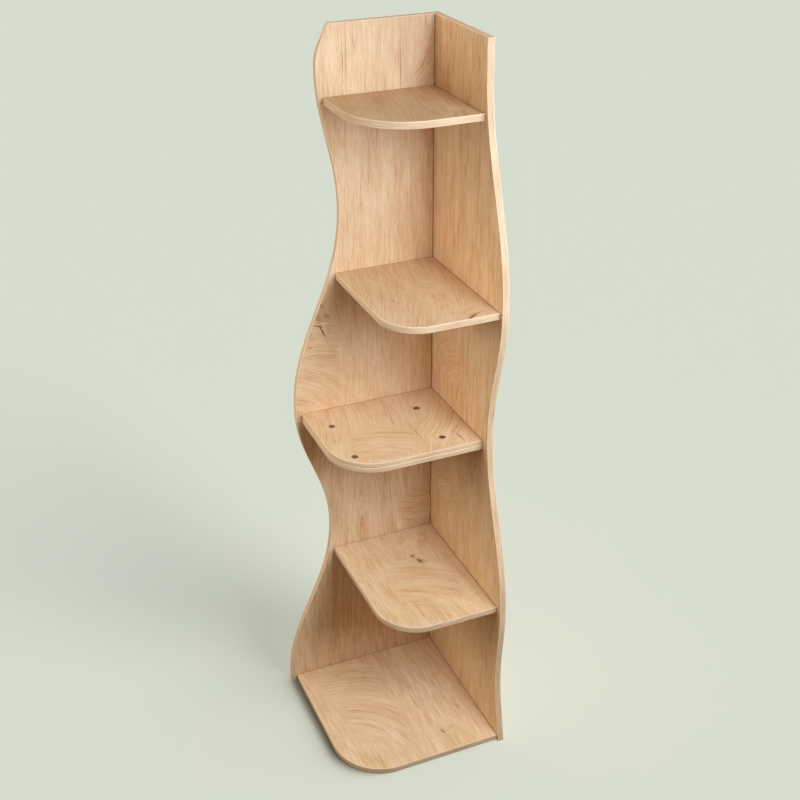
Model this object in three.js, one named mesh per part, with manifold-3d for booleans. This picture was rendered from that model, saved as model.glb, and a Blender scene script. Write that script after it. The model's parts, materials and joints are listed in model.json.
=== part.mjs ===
// A tall open corner shelf unit of banded oak-look board.
// Two panels meet at a right angle and stand in the corner of a room. Their free edges run up in a slow
// wave, and rectangular shelves with one rounded corner sit between them. The unit is made as a lower and
// an upper half, each with its own pair of panels, and the two halves are bolted together through the
// doubled middle shelf.
//
// Lengths are in millimetres and +Z is up. Inside the unit group the inner corner of the two panels is the
// Z axis and the floor is Z = 0: the back panel lies along -X, the side panel along -Y.

import * as THREE from 'three';
import { mergeVertices } from 'three/addons/utils/BufferGeometryUtils.js';
import Module from 'manifold-3d';

const wasm = await Module();
wasm.setup();

// Board and edge band
const boardThickness = 16;
const joiningBoardThickness = 12.5;
const bandThickness = 1;

// Open height over each shelf, up to the next one or, over the last, to the top of the panels
const baseBayHeight = 389;
const lowerBayHeight = 404;
const middleBayHeight = 350;
const upperBayHeight = 408;
const topBayHeight = 160;

// How far each shelf stands back from the free edges of the back and the side panel, at its own height
const baseLeftSetback = 14.5;
const baseFrontSetback = 7;
const lowerLeftSetback = 16.5;
const lowerFrontSetback = 18;
const middleLeftSetback = 14.5;
const middleFrontSetback = 27.5;
const upperLeftSetback = 15.5;
const upperFrontSetback = 11.5;
const topLeftSetback = 10.5;
const topFrontSetback = 15;

// Radius of each shelf's free corner
const baseCornerRadius = 130;
const lowerCornerRadius = 108;
const middleCornerRadius = 115;
const upperCornerRadius = 95;
const topCornerRadius = 150;

// Reach of the panels' free edges from the inner corner, at the foot, the waists, the crests and the top
const backFootReach = 424.5;
const backLowerWaistReach = 291.5;
const backLowerCrestReach = 373.5;
const backUpperWaistReach = 242.5;
const backUpperCrestReach = 288;
const backTopReach = 257;
const sideFootReach = 442.5;
const sideLowerWaistReach = 411.5;
const sideLowerCrestReach = 423;
const sideMiddleWaistReach = 321.5;
const sideUpperCrestReach = 373.5;
const sideUpperWaistReach = 264;
const sideTopReach = 264;

// One-piece connecting screws: they hold the shelves in the panels and the back panel on the side panel
const screwLength = 50;
const screwHeadRadius = 4;
const screwHeadLength = 2.8;
const screwNeckRadius = 2.9;
const screwThreadRadius = 2.5;
const screwTipLength = 3;
const screwSink = 0.3;
const screwKeyWidth = 3;
const screwKeyDepth = 2.4;

// Where the two screws of a joint stand along it
const screwShares = [0.22, 0.78];

// Connecting bolts and sleeve nuts: they clamp the two boards of the middle shelf
const boltHeadRadius = 7.75;
const boltHeadHeight = 2;
const boltHeadChamfer = 0.9;
const boltKeyWidth = 5;
const boltKeyDepth = 1.5;
const boltShankRadius = 3;
const boltTipChamfer = 0.6;
const boltTipToNutHead = 4;
const sleeveRadius = 4.5;
const sleeveLength = 16;
const sleeveFloor = 1;
const boltFromSidePanel = 83;
const boltFromBackPanel = 89;
const boltFromLeftEdge = 47;
const boltFromFrontEdge = 51;

// Gap between a fastener and its hole, and how far a cutter runs past the face that it cuts
const clearance = 0.3;
const overrun = 1;

// Steps that round shapes are drawn in
const stepsPerWave = 16;
const stepsPerCorner = 12;
const screwFacets = 8;
const boltFacets = 16;
const hexSides = 6;

// Finishes
const boardFace = { color: '#dcb68d', roughness: 0.55, metalness: 0 };
const bandFace = { color: '#e8c7a6', roughness: 0.5, metalness: 0 };
const zincPlate = { color: '#b4b6b2', roughness: 0.35, metalness: 1 };
const darkNickel = { color: '#85796b', roughness: 0.3, metalness: 1 };

// The shelves from the floor up. The middle one is doubled, a board for each half of the unit.
const levels = [
  {
    boards: ['base'],
    thickness: boardThickness,
    clearAbove: baseBayHeight,
    leftSetback: baseLeftSetback,
    frontSetback: baseFrontSetback,
    cornerRadius: baseCornerRadius,
  },
  {
    boards: ['lower_shelf'],
    thickness: boardThickness,
    clearAbove: lowerBayHeight,
    leftSetback: lowerLeftSetback,
    frontSetback: lowerFrontSetback,
    cornerRadius: lowerCornerRadius,
  },
  {
    boards: ['lower_joining', 'upper_joining'],
    thickness: joiningBoardThickness,
    clearAbove: middleBayHeight,
    leftSetback: middleLeftSetback,
    frontSetback: middleFrontSetback,
    cornerRadius: middleCornerRadius,
  },
  {
    boards: ['upper_shelf'],
    thickness: boardThickness,
    clearAbove: upperBayHeight,
    leftSetback: upperLeftSetback,
    frontSetback: upperFrontSetback,
    cornerRadius: upperCornerRadius,
  },
  {
    boards: ['top_shelf'],
    thickness: boardThickness,
    clearAbove: topBayHeight,
    leftSetback: topLeftSetback,
    frontSetback: topFrontSetback,
    cornerRadius: topCornerRadius,
  },
];

// The free edge of each panel is a chain of S-curves between knots. heightShare is the knot's place on
// the edge's own height, and leanShare how far the edge leans outwards there for each millimetre that it
// climbs. Crests and waists stand upright, and each curve's handles are handleShare of its height.
const handleShare = 0.4;
const backPanelKnots = [
  { heightShare: 0, reach: backFootReach, leanShare: 0.04 },
  { heightShare: 0.28, reach: backLowerWaistReach, leanShare: 0 },
  { heightShare: 0.478, reach: backLowerCrestReach, leanShare: 0 },
  { heightShare: 0.765, reach: backUpperWaistReach, leanShare: 0 },
  { heightShare: 0.946, reach: backUpperCrestReach, leanShare: 0 },
  { heightShare: 1, reach: backTopReach, leanShare: -0.48 },
];
const sidePanelKnots = [
  { heightShare: 0, reach: sideFootReach, leanShare: -0.16 },
  { heightShare: 0.117, reach: sideLowerWaistReach, leanShare: 0 },
  { heightShare: 0.223, reach: sideLowerCrestReach, leanShare: 0 },
  { heightShare: 0.49, reach: sideMiddleWaistReach, leanShare: 0 },
  { heightShare: 0.676, reach: sideUpperCrestReach, leanShare: 0 },
  { heightShare: 0.967, reach: sideUpperWaistReach, leanShare: 0 },
  { heightShare: 1, reach: sideTopReach, leanShare: 0.14 },
];

// Heights that follow from the shelves
let stackHeight = 0;
for (const level of levels) {
  level.bottom = stackHeight;
  level.top = level.bottom + level.boards.length * level.thickness;
  level.middle = (level.bottom + level.top) / 2;
  stackHeight = level.top + level.clearAbove;
}
const unitHeight = stackHeight;
const panelTop = unitHeight - bandThickness;
const joiningLevel = levels.find((level) => level.boards.length > 1);
const seamHeight = joiningLevel.middle;

// The wave of a panel's free edge
// Each point of an edge has its height, its reach at the face of the band, and its inner reach under it.
function drawEdge(knots) {
  const points = [];
  knots.slice(1).forEach((end, index) => {
    const start = knots[index];
    const low = start.heightShare * panelTop;
    const high = end.heightShare * panelTop;
    const handle = handleShare * (high - low);
    const curve = new THREE.CubicBezierCurve(
      new THREE.Vector2(start.reach, low),
      new THREE.Vector2(start.reach + start.leanShare * handle, low + handle),
      new THREE.Vector2(end.reach - end.leanShare * handle, high - handle),
      new THREE.Vector2(end.reach, high),
    );
    const firstStep = index === 0 ? 0 : 1;
    for (let step = firstStep; step <= stepsPerWave; step += 1) {
      const place = curve.getPoint(step / stepsPerWave);
      const along = curve.getTangent(step / stepsPerWave);
      const inner = place.x - bandThickness * Math.hypot(1, along.x / along.y);
      points.push({ height: place.y, reach: place.x, inner });
    }
  });
  return points;
}

function edgeAt(edge, height) {
  const next = edge.findIndex((point, index) => index > 0 && point.height >= height);
  const above = edge[next];
  const below = edge[next - 1];
  const share = (height - below.height) / (above.height - below.height);
  return {
    height,
    reach: THREE.MathUtils.lerp(below.reach, above.reach, share),
    inner: THREE.MathUtils.lerp(below.inner, above.inner, share),
  };
}

function edgeBetween(edge, low, high) {
  const inside = edge.filter((point) => point.height > low && point.height < high);
  return [edgeAt(edge, low), ...inside, edgeAt(edge, high)];
}

const backEdge = drawEdge(backPanelKnots);
const sideEdge = drawEdge(sidePanelKnots);

// Solids and meshes
function toSolid(geometry) {
  const shell = geometry.clone();
  shell.deleteAttribute('normal');
  shell.deleteAttribute('uv');
  const merged = mergeVertices(shell);
  return new wasm.Manifold(new wasm.Mesh({
    numProp: 3,
    vertProperties: merged.attributes.position.array,
    triVerts: Uint32Array.from(merged.index.array),
  }));
}

function toGeometry(solid) {
  const { vertProperties, triVerts } = solid.getMesh();
  const shell = new THREE.BufferGeometry();
  shell.setAttribute('position', new THREE.BufferAttribute(vertProperties, 3));
  shell.setIndex(new THREE.BufferAttribute(triVerts, 1));
  const geometry = shell.toNonIndexed();
  geometry.computeVertexNormals();
  return geometry;
}

function cut(geometry, cutters) {
  return toGeometry(cutters.reduce((solid, cutter) => solid.subtract(cutter), toSolid(geometry)));
}

function named(name, geometry, finish) {
  const mesh = new THREE.Mesh(geometry, new THREE.MeshStandardMaterial(finish));
  mesh.name = name;
  return mesh;
}

function extrude(outline, depth) {
  return new THREE.ExtrudeGeometry(new THREE.Shape(outline), { depth, bevelEnabled: false });
}

function revolve(profile, facets) {
  const points = profile.map(([radius, along]) => new THREE.Vector2(radius, along));
  return new THREE.LatheGeometry(points, facets);
}

// A socket for a hexagonal key, sunk into the face at the given place on the Y axis
function keySocket(keyWidth, from, to) {
  const socket = new THREE.CylinderGeometry(
    keyWidth / (2 * Math.cos(Math.PI / hexSides)),
    keyWidth / (2 * Math.cos(Math.PI / hexSides)),
    to - from,
    hexSides,
  );
  socket.translate(0, (from + to) / 2, 0);
  return toSolid(socket);
}

// Directions in the unit group: left along the back panel, forward along the side panel
const right = new THREE.Vector3(1, 0, 0);
const left = new THREE.Vector3(-1, 0, 0);
const back = new THREE.Vector3(0, 1, 0);
const forward = new THREE.Vector3(0, -1, 0);
const up = new THREE.Vector3(0, 0, 1);
const down = new THREE.Vector3(0, 0, -1);

// Connecting screws
// The profile's second number is the depth below the panel's outer face.
const screwGeometry = cut(
  revolve([
    [0, screwSink],
    [screwHeadRadius, screwSink],
    [screwNeckRadius, screwSink + screwHeadLength],
    [screwNeckRadius, boardThickness - clearance],
    [screwThreadRadius, boardThickness - clearance],
    [screwThreadRadius, screwLength - screwTipLength],
    [0, screwLength],
  ], screwFacets),
  [keySocket(screwKeyWidth, screwSink - overrun, screwSink + screwKeyDepth)],
);

const screwHole = revolve([
  [0, -overrun],
  [screwHeadRadius + clearance, -overrun],
  [screwHeadRadius + clearance, screwSink],
  [screwNeckRadius + clearance, screwSink + screwHeadLength],
  [screwNeckRadius + clearance, boardThickness],
  [screwThreadRadius + clearance, boardThickness],
  [screwThreadRadius + clearance, screwLength + clearance],
  [0, screwLength + clearance],
], screwFacets);

// A screw through the back panel points forward, one through the side panel points left.
function throughBackPanel(name, reach, height) {
  const pose = new THREE.Matrix4().makeBasis(right, forward, down)
    .setPosition(-reach, boardThickness, height);
  return makeScrew(name, height, pose);
}

function throughSidePanel(name, reach, height) {
  const pose = new THREE.Matrix4().makeBasis(back, left, up)
    .setPosition(boardThickness, -reach, height);
  return makeScrew(name, height, pose);
}

function makeScrew(name, height, pose) {
  const mesh = named(name, screwGeometry, zincPlate);
  mesh.applyMatrix4(pose);
  return { mesh, height, hole: toSolid(screwHole.clone().applyMatrix4(pose)) };
}

// Shelf outline
// A shelf is a rectangle with its free front corner rounded, and its two free edges carry one band. The
// rim runs along those edges, from the back panel to the side panel, at the given depth under the band.
function shelfRim(level, inset) {
  const width = edgeAt(backEdge, level.middle).reach - level.leftSetback - inset;
  const depth = edgeAt(sideEdge, level.middle).reach - level.frontSetback - inset;
  const radius = level.cornerRadius - inset;
  const corner = [];
  for (let step = 0; step <= stepsPerCorner; step += 1) {
    const turn = (step / stepsPerCorner) * (Math.PI / 2);
    corner.push(new THREE.Vector2(
      radius - width - radius * Math.cos(turn),
      radius - depth - radius * Math.sin(turn),
    ));
  }
  return [new THREE.Vector2(-width, 0), ...corner, new THREE.Vector2(0, -depth)];
}

// Connecting bolts and sleeve nuts
// Both profiles are drawn from the face that the head bears on.
const boltLength = joiningLevel.top - joiningLevel.bottom - boltTipToNutHead;
const boltGeometry = cut(
  revolve([
    [0, -boltLength],
    [boltShankRadius - boltTipChamfer, -boltLength],
    [boltShankRadius, boltTipChamfer - boltLength],
    [boltShankRadius, 0],
    [boltHeadRadius, 0],
    [boltHeadRadius, boltHeadHeight - boltHeadChamfer],
    [boltHeadRadius - boltHeadChamfer, boltHeadHeight],
    [0, boltHeadHeight],
  ], boltFacets),
  [keySocket(boltKeyWidth, boltHeadHeight - boltKeyDepth, boltHeadHeight + overrun)],
);

const sleeveBore = boltShankRadius + clearance;
const sleeveGeometry = cut(
  revolve([
    [0, -boltHeadHeight],
    [boltHeadRadius - boltHeadChamfer, -boltHeadHeight],
    [boltHeadRadius, boltHeadChamfer - boltHeadHeight],
    [boltHeadRadius, 0],
    [sleeveRadius, 0],
    [sleeveRadius, sleeveLength],
    [sleeveBore, sleeveLength],
    [sleeveBore, sleeveFloor],
    [0, sleeveFloor],
  ], boltFacets),
  [keySocket(boltKeyWidth, -boltHeadHeight - overrun, boltKeyDepth - boltHeadHeight)],
);

const boltHole = revolve([
  [0, joiningLevel.bottom - overrun],
  [sleeveRadius + clearance, joiningLevel.bottom - overrun],
  [sleeveRadius + clearance, joiningLevel.top + overrun],
  [0, joiningLevel.top + overrun],
], boltFacets);

// Turns a profile's axis from Y to the unit's Z
function standing(x, y, height) {
  return new THREE.Matrix4().makeBasis(right, up, forward).setPosition(x, y, height);
}

const joiningRim = shelfRim(joiningLevel, 0);
const boltRows = [-boltFromBackPanel, joiningRim.at(-1).y + boltFromFrontEdge];
const boltColumns = [joiningRim[0].x + boltFromLeftEdge, -boltFromSidePanel];
const boltPlaces = boltRows.flatMap((y) => boltColumns.map((x) => ({ x, y })));

// The unit
const unit = new THREE.Group();
const backPanelScrews = [];
const sidePanelScrews = [];

function addShelf(level) {
  const rim = shelfRim(level, 0);
  const innerRim = shelfRim(level, bandThickness);
  const width = -rim[0].x;
  const depth = -rim.at(-1).y;
  const holes = level === joiningLevel
    ? boltPlaces.map(({ x, y }) => toSolid(boltHole.clone().applyMatrix4(standing(x, y, 0))))
    : [];
  level.boards.forEach((boardName, index) => {
    const bottom = level.bottom + index * level.thickness;
    const height = bottom + level.thickness / 2;
    const backScrews = screwShares.map((share, count) => (
      throughBackPanel(`${boardName}_back_screw_${count + 1}`, share * width, height)));
    const sideScrews = screwShares.map((share, count) => (
      throughSidePanel(`${boardName}_side_screw_${count + 1}`, share * depth, height)));
    const screws = [...backScrews, ...sideScrews];
    backPanelScrews.push(...backScrews);
    sidePanelScrews.push(...sideScrews);

    const board = extrude([new THREE.Vector2(0, 0), ...innerRim], level.thickness).translate(0, 0, bottom);
    const band = extrude([...rim, ...innerRim.toReversed()], level.thickness).translate(0, 0, bottom);
    const cutBoard = cut(board, [...screws.map((screw) => screw.hole), ...holes]);
    unit.add(named(`${boardName}_board`, cutBoard, boardFace));
    unit.add(named(`${boardName}_edge_band`, band, bandFace));
    screws.forEach((screw) => unit.add(screw.mesh));
  });
}

// One screw half way up each bay holds the back panel on the side panel's back edge.
function addCornerScrew(level, index) {
  const height = level.top + level.clearAbove / 2;
  const screw = throughBackPanel(`corner_screw_${index + 1}`, -boardThickness / 2, height);
  backPanelScrews.push(screw);
  sidePanelScrews.push(screw);
  unit.add(screw.mesh);
}

function addBolts() {
  boltPlaces.forEach(({ x, y }, index) => {
    const bolt = named(`joining_bolt_${index + 1}`, boltGeometry, darkNickel);
    bolt.applyMatrix4(standing(x, y, joiningLevel.top));
    const sleeve = named(`sleeve_nut_${index + 1}`, sleeveGeometry, darkNickel);
    sleeve.applyMatrix4(standing(x, y, joiningLevel.bottom));
    unit.add(bolt, sleeve);
  });
}

// A panel is drawn with its reach across and its height up. It starts at the given reach, and the pose
// stands it in the unit.
function addPanel(name, edge, start, pose, screws) {
  const halves = [
    { half: 'lower', low: 0, high: seamHeight },
    { half: 'upper', low: seamHeight, high: panelTop },
  ];
  halves.forEach(({ half, low, high }) => {
    const free = edgeBetween(edge, low, high);
    const outer = free.map((point) => new THREE.Vector2(point.reach, point.height));
    const inner = free.map((point) => new THREE.Vector2(point.inner, point.height));
    const outline = [new THREE.Vector2(start, low), ...inner, new THREE.Vector2(start, high)];
    const holes = screws.filter((screw) => screw.height > low && screw.height < high)
      .map((screw) => screw.hole);
    const board = extrude(outline, boardThickness).applyMatrix4(pose);
    const band = extrude([...outer, ...inner.toReversed()], boardThickness).applyMatrix4(pose);
    unit.add(named(`${half}_${name}`, cut(board, holes), boardFace));
    unit.add(named(`${half}_${name}_edge_band`, band, bandFace));
  });

  const topReach = edge.at(-1).reach;
  const topBand = extrude([
    new THREE.Vector2(start, panelTop),
    new THREE.Vector2(topReach, panelTop),
    new THREE.Vector2(topReach, unitHeight),
    new THREE.Vector2(start, unitHeight),
  ], boardThickness).applyMatrix4(pose);
  unit.add(named(`${name}_top_band`, topBand, bandFace));
}

levels.forEach(addShelf);
levels.forEach(addCornerScrew);
addBolts();

// The back panel runs on behind the side panel's back edge.
const againstBack = new THREE.Matrix4().makeBasis(left, up, back);
const againstSide = new THREE.Matrix4().makeBasis(forward, up, left).setPosition(boardThickness, 0, 0);
addPanel('back_panel', backEdge, -boardThickness, againstBack, backPanelScrews);
addPanel('side_panel', sideEdge, 0, againstSide, sidePanelScrews);

// The origin is on the floor, under the middle of the unit's own box.
const backSpan = Math.max(...backEdge.map((point) => point.reach));
const sideSpan = Math.max(...sideEdge.map((point) => point.reach));
unit.position.set((backSpan - boardThickness) / 2, (sideSpan - boardThickness) / 2, 0);

const cornerShelfUnit = new THREE.Group();
cornerShelfUnit.name = 'corner_shelf_unit';
cornerShelfUnit.add(unit);

export default cornerShelfUnit;
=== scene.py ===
# %% [markdown]
# # A tall corner shelf unit in oak-look board
#
# The unit stands in the corner of a room. Two panels meet at a right angle, their free edges run up in a
# slow wave, and shelves with one rounded corner sit between them. It is flat-pack furniture: chipboard
# with a printed oak film on its faces, and a thin lighter strip glued on every sawn edge.
#
# The CAD part gives every size and place. This lesson dresses it: each board, edge strip and fastener is
# drawn again with fine arrises, and gets a finish worked out from nodes alone.

# %% Load the frame
import math

import bpy
import numpy as np
from mathutils import Matrix, Vector
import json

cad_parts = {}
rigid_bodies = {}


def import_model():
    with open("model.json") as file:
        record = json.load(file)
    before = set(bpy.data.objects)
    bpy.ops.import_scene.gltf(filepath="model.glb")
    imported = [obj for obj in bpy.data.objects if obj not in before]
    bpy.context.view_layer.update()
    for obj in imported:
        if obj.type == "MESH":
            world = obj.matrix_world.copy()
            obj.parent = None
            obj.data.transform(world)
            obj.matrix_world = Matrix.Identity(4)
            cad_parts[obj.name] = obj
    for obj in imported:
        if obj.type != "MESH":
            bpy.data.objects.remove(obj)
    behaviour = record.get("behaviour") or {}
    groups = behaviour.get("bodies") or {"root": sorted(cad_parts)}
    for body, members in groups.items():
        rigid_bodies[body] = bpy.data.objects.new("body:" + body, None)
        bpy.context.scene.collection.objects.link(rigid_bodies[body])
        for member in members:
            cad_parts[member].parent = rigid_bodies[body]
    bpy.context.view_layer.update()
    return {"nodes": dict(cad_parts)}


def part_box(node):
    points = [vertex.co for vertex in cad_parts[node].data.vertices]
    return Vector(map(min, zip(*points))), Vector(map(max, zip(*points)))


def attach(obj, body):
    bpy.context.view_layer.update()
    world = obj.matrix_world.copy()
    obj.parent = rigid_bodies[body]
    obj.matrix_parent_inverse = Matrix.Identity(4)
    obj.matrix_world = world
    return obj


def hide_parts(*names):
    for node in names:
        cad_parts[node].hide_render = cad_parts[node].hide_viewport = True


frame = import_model()

# %% [markdown]
# ## The places that the boards share
#
# A carpenter measures from the inner corner, where the two inner faces meet. The frame's own boxes give
# that corner, the outer faces and the seam between the lower and the upper half, so nothing here can
# drift away from the CAD part.

# %% Measure the frame
side_low, side_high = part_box("lower_side_panel")
back_low, back_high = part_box("lower_back_panel")
corner_x, corner_y, seam_height = side_low.x, back_low.y, back_high.z
panel_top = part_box("upper_back_panel")[1].z
board = side_high.x - corner_x
strip = 0.001
print(f"inner corner {corner_x:.5f}, {corner_y:.5f}; board {board:.4f}; seam {seam_height:.4f}")

# %% [markdown]
# ## Turning arrays into pieces
#
# Every piece below is a skin: a loop of points that is carried along and changes shape on the way. Numpy
# works out all points at once as an array of rows and columns, and one function turns such an array into
# a mesh.

# %% A skin over rows of loops
def skin(name, rows, along=None, across=None):
    """Joins each point to its neighbour in the loop and to the same point of the next row, then closes
    the first and the last row with a flat face. along and across, if given, are the pattern's two
    coordinates: one value for each row, and one for each point of the loop with the first repeated."""
    count, around = rows.shape[:2]
    index = np.arange(count * around).reshape(count, around)
    beside = np.roll(index, -1, axis=1)
    quads = np.stack([index[:-1], beside[:-1], beside[1:], index[1:]], axis=-1).reshape(-1, 4)
    mesh = bpy.data.meshes.new(name)
    faces = quads.tolist() + [index[0, ::-1].tolist(), index[-1].tolist()]
    mesh.from_pydata(rows.reshape(-1, 3).tolist(), [], faces)
    if along is not None:
        u = np.broadcast_to(along[:, None], (count, around))
        near = np.stack([u[:-1], u[:-1], u[1:], u[1:]], axis=-1)
        v = np.stack([across[:-1], across[1:], across[1:], across[:-1]], axis=-1)
        v = np.broadcast_to(v, near.shape)
        pattern = np.stack([near, v], axis=-1).reshape(-1, 2)
        ends = np.stack([np.repeat([along[0], along[-1]], around), np.tile(across[:-1], 2)], axis=-1)
        layer = mesh.uv_layers.new(name="strip")
        layer.data.foreach_set("uv", np.concatenate([pattern, ends]).ravel())
    mesh.validate()
    if signed_volume(mesh) < 0:
        mesh.flip_normals()
    mesh.shade_smooth()
    mesh.set_sharp_from_angle(angle=math.radians(30))
    return mesh


def signed_volume(mesh):
    """Sum over all triangles of a . (b x c) / 6, which is positive where the faces point outwards."""
    mesh.calc_loop_triangles()
    points = np.empty(len(mesh.vertices) * 3, np.float32)
    mesh.vertices.foreach_get("co", points)
    corners = np.empty(len(mesh.loop_triangles) * 3, np.int32)
    mesh.loop_triangles.foreach_get("vertices", corners)
    a, b, c = points.reshape(-1, 3)[corners.reshape(-1, 3)].transpose(1, 0, 2)
    return float(np.einsum("ij,ij->i", a, np.cross(b, c)).sum() / 6)


def add_object(name, data):
    thing = bpy.data.objects.new(name, data)
    bpy.context.scene.collection.objects.link(thing)
    return thing


def dress(node, rows, along=None, across=None):
    """Makes the piece that stands for one CAD node, and lets it ride on the unit's only body."""
    name = node + "_dressed"
    piece = add_object(name, skin(name, rows, along, across))
    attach(piece, "root")
    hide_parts(node)
    return piece

# %% [markdown]
# ## The wave of the free edges
#
# The designer drew each free edge as a chain of S-curves between crests and waists. The same knots as in
# the CAD source are used, and only the steps are finer, so the edge is smooth when seen close.

# %% Knots of the two waves
handle_share = 0.4
curve_steps = 120
back_knots = np.array([
    # share of the height, reach from the inner corner, lean
    (0, 0.4245, 0.04), (0.28, 0.2915, 0), (0.478, 0.3735, 0), (0.765, 0.2425, 0), (0.946, 0.288, 0),
    (1, 0.257, -0.48),
])
side_knots = np.array([
    (0, 0.4425, -0.16), (0.117, 0.4115, 0), (0.223, 0.423, 0), (0.49, 0.3215, 0), (0.676, 0.3735, 0),
    (0.967, 0.264, 0), (1, 0.264, 0.14),
])
waves = {"back": back_knots, "side": side_knots}

# %% Reach of an edge at any height
def reach_at(knots, heights):
    """Each span is a cubic curve: reach and height are its four control values weighted by (1-t)^3,
    3t(1-t)^2, 3t^2(1-t) and t^3. The curve is drawn finely and read off at the heights asked for. It is
    held to its widest knot, which sets the unit's width, so the foot's lean can't carry it past that."""
    share, reach, lean = knots.T
    low, high = share[:-1] * panel_top, share[1:] * panel_top
    handle = handle_share * (high - low)
    t = np.linspace(0, 1, curve_steps)[:, None]
    weights = ((1 - t) ** 3, 3 * t * (1 - t) ** 2, 3 * t ** 2 * (1 - t), t ** 3)
    climbs = (low, low + handle, high - handle, high)
    reaches = (reach[:-1], reach[:-1] + lean[:-1] * handle, reach[1:] - lean[1:] * handle, reach[1:])
    height = sum(weight * value for weight, value in zip(weights, climbs))
    out = sum(weight * value for weight, value in zip(weights, reaches))
    return np.minimum(np.interp(heights, height.T.ravel(), out.T.ravel()), reach.max())


def reach_under_strip(knots, heights):
    """The board ends one strip thickness inside the edge, measured square to the edge, so the reach is
    less by that thickness times the square root of 1 + slope squared."""
    reach = reach_at(knots, heights)
    slope = np.gradient(reach, heights)
    return reach - strip * np.sqrt(1 + slope ** 2)


print("foot and top reach", reach_at(back_knots, [0, panel_top]), reach_at(side_knots, [0, panel_top]))

# %% [markdown]
# ## The four panel halves
#
# A panel half is a flat board with one wavy edge. Seen as a skin it is a four-cornered loop, the section
# of the board, which is carried up the height while its outer side follows the wave. The back panel runs
# on behind the side panel, as the real one does to cover its edge.

# %% Panel boards
panel_steps = 110
arris_ease = 0.00025
out_and_back = np.array([0, 0.25, 0.5, 0.75, 1, 1, 0.75, 0.5, 0.25, 0])


def on_panel(side, away, depth, height):
    """Places points of a panel: away from the inner corner along the panel, depth into the board from
    its inner face, and height."""
    away, depth, height = np.broadcast_arrays(away, depth, height)
    if side == "back":
        return np.stack([corner_x - away, corner_y + depth, height], axis=-1)
    return np.stack([corner_x + depth, corner_y - away, height], axis=-1)


def panel_rows(side, knots, low, high):
    """The loop runs round the section: inner face outwards, then outer face back to the corner. The
    arris at the closed end is eased by a quarter of a millimetre."""
    heights = np.linspace(low, high, panel_steps)[:, None]
    out = reach_under_strip(knots, heights[:, 0])[:, None]
    start = -board if side == "back" else 0.0
    shift = np.array([0] * 9 + [arris_ease, 0])
    depth = np.array([0] * 5 + [board] * 5 + [board - arris_ease])
    away = start + np.append(out_and_back, 0) * (out - start) + shift
    return on_panel(side, away, depth, heights)


halves = {"lower": (0.0, seam_height), "upper": (seam_height, panel_top)}
panels = {}
for half, (low, high) in halves.items():
    for side, knots in waves.items():
        node = f"{half}_{side}_panel"
        panels[node] = dress(node, panel_rows(side, knots, low, high))
print(len(panels), "panel halves")

# %% [markdown]
# ## Edge strips
#
# The strip is one millimetre thick, as wide as the board, and its two outer arrises are scraped round
# after gluing. That small round catches the light as a bright line along every shelf, so it is real
# geometry here, and the strip's colour also paints the arrises paler, partly as scraped edge and partly
# as painted highlight. One profile serves for all strips: the distance outwards from the board's edge,
# and the place across the board's thickness.

# %% Profile of a strip
def strip_profile(width, radius=0.0008, steps=5):
    """Quarter circles at the two outer arrises. Returns the outward distance and the place across for
    each point of the loop, and a pattern coordinate that is -1 and 1 at the two arrises."""
    turn = np.linspace(0, math.pi / 2, steps)
    outward = strip - radius + radius * np.sin(turn)
    inward = radius - radius * np.cos(turn)
    out = np.concatenate([[0], outward, outward[::-1], [0]])
    across = np.concatenate([[0], inward, width - inward[::-1], [width]])
    girth = np.concatenate([[0], np.cumsum(np.hypot(np.diff(out), np.diff(across)))])
    pattern = (girth - girth[-1] / 2) / (width / 2)
    return out, across, np.append(pattern, pattern[0])


def lengths(points):
    """Running length along a path of points."""
    return np.concatenate([[0], np.cumsum(np.linalg.norm(np.diff(points, axis=0), axis=1))])

# %% Strips on the waves of the panels
def panel_strip_rows(side, knots, low, high):
    """The profile is carried up the wave. Its outward distance, as a share of the strip's thickness,
    leads from the board's edge to the wave itself."""
    heights = np.linspace(low, high, panel_steps)
    inner, outer = reach_under_strip(knots, heights), reach_at(knots, heights)
    out, across, pattern = strip_profile(board)
    away = inner[:, None] + (outer - inner)[:, None] * (out / strip)
    path = np.stack([outer, heights], axis=-1)
    return on_panel(side, away, across, heights[:, None]), lengths(path), pattern


strips = {}
for half, (low, high) in halves.items():
    for side, knots in waves.items():
        node = f"{half}_{side}_panel_edge_band"
        rows, along, across = panel_strip_rows(side, knots, low, high)
        strips[node] = dress(node, rows, along, across)

# %% Strips on the tops of the panels
top_steps = 24


def top_strip_rows(node, side):
    """A straight run of the same profile, now with its outward distance pointing up."""
    low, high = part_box(node)
    if side == "back":
        ends = corner_x - np.array([low.x, high.x])
    else:
        ends = corner_y - np.array([low.y, high.y])
    away = np.linspace(ends.max(), ends.min(), top_steps)
    out, across, pattern = strip_profile(board)
    return on_panel(side, away[:, None], across, panel_top + out), lengths(away[:, None]), pattern


for side in waves:
    node = f"{side}_panel_top_band"
    rows, along, across = top_strip_rows(node, side)
    strips[node] = dress(node, rows, along, across)
print(len(strips), "strips on the panels")

# %% [markdown]
# ## The shelves
#
# A shelf is a rectangle with one rounded corner, the free one. As a skin it is the board's section, taken
# from the back panel to the front edge, and carried from the side panel out to the left. Past the start
# of the rounding the section gets shorter along a quarter circle.

# %% Shelf boards
shelf_radius = {"base": 0.13, "lower_shelf": 0.108, "lower_joining": 0.115, "upper_joining": 0.115,
                "upper_shelf": 0.095, "top_shelf": 0.15}
rounding_steps = 40
board_steps = 11
lead_steps = 15


def shelf_size(shelf):
    """Width, depth, lower and upper face of a shelf with its strip, read off the frame."""
    low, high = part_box(f"{shelf}_edge_band")
    return corner_x - low.x, corner_y - low.y, low.z, high.z


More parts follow.
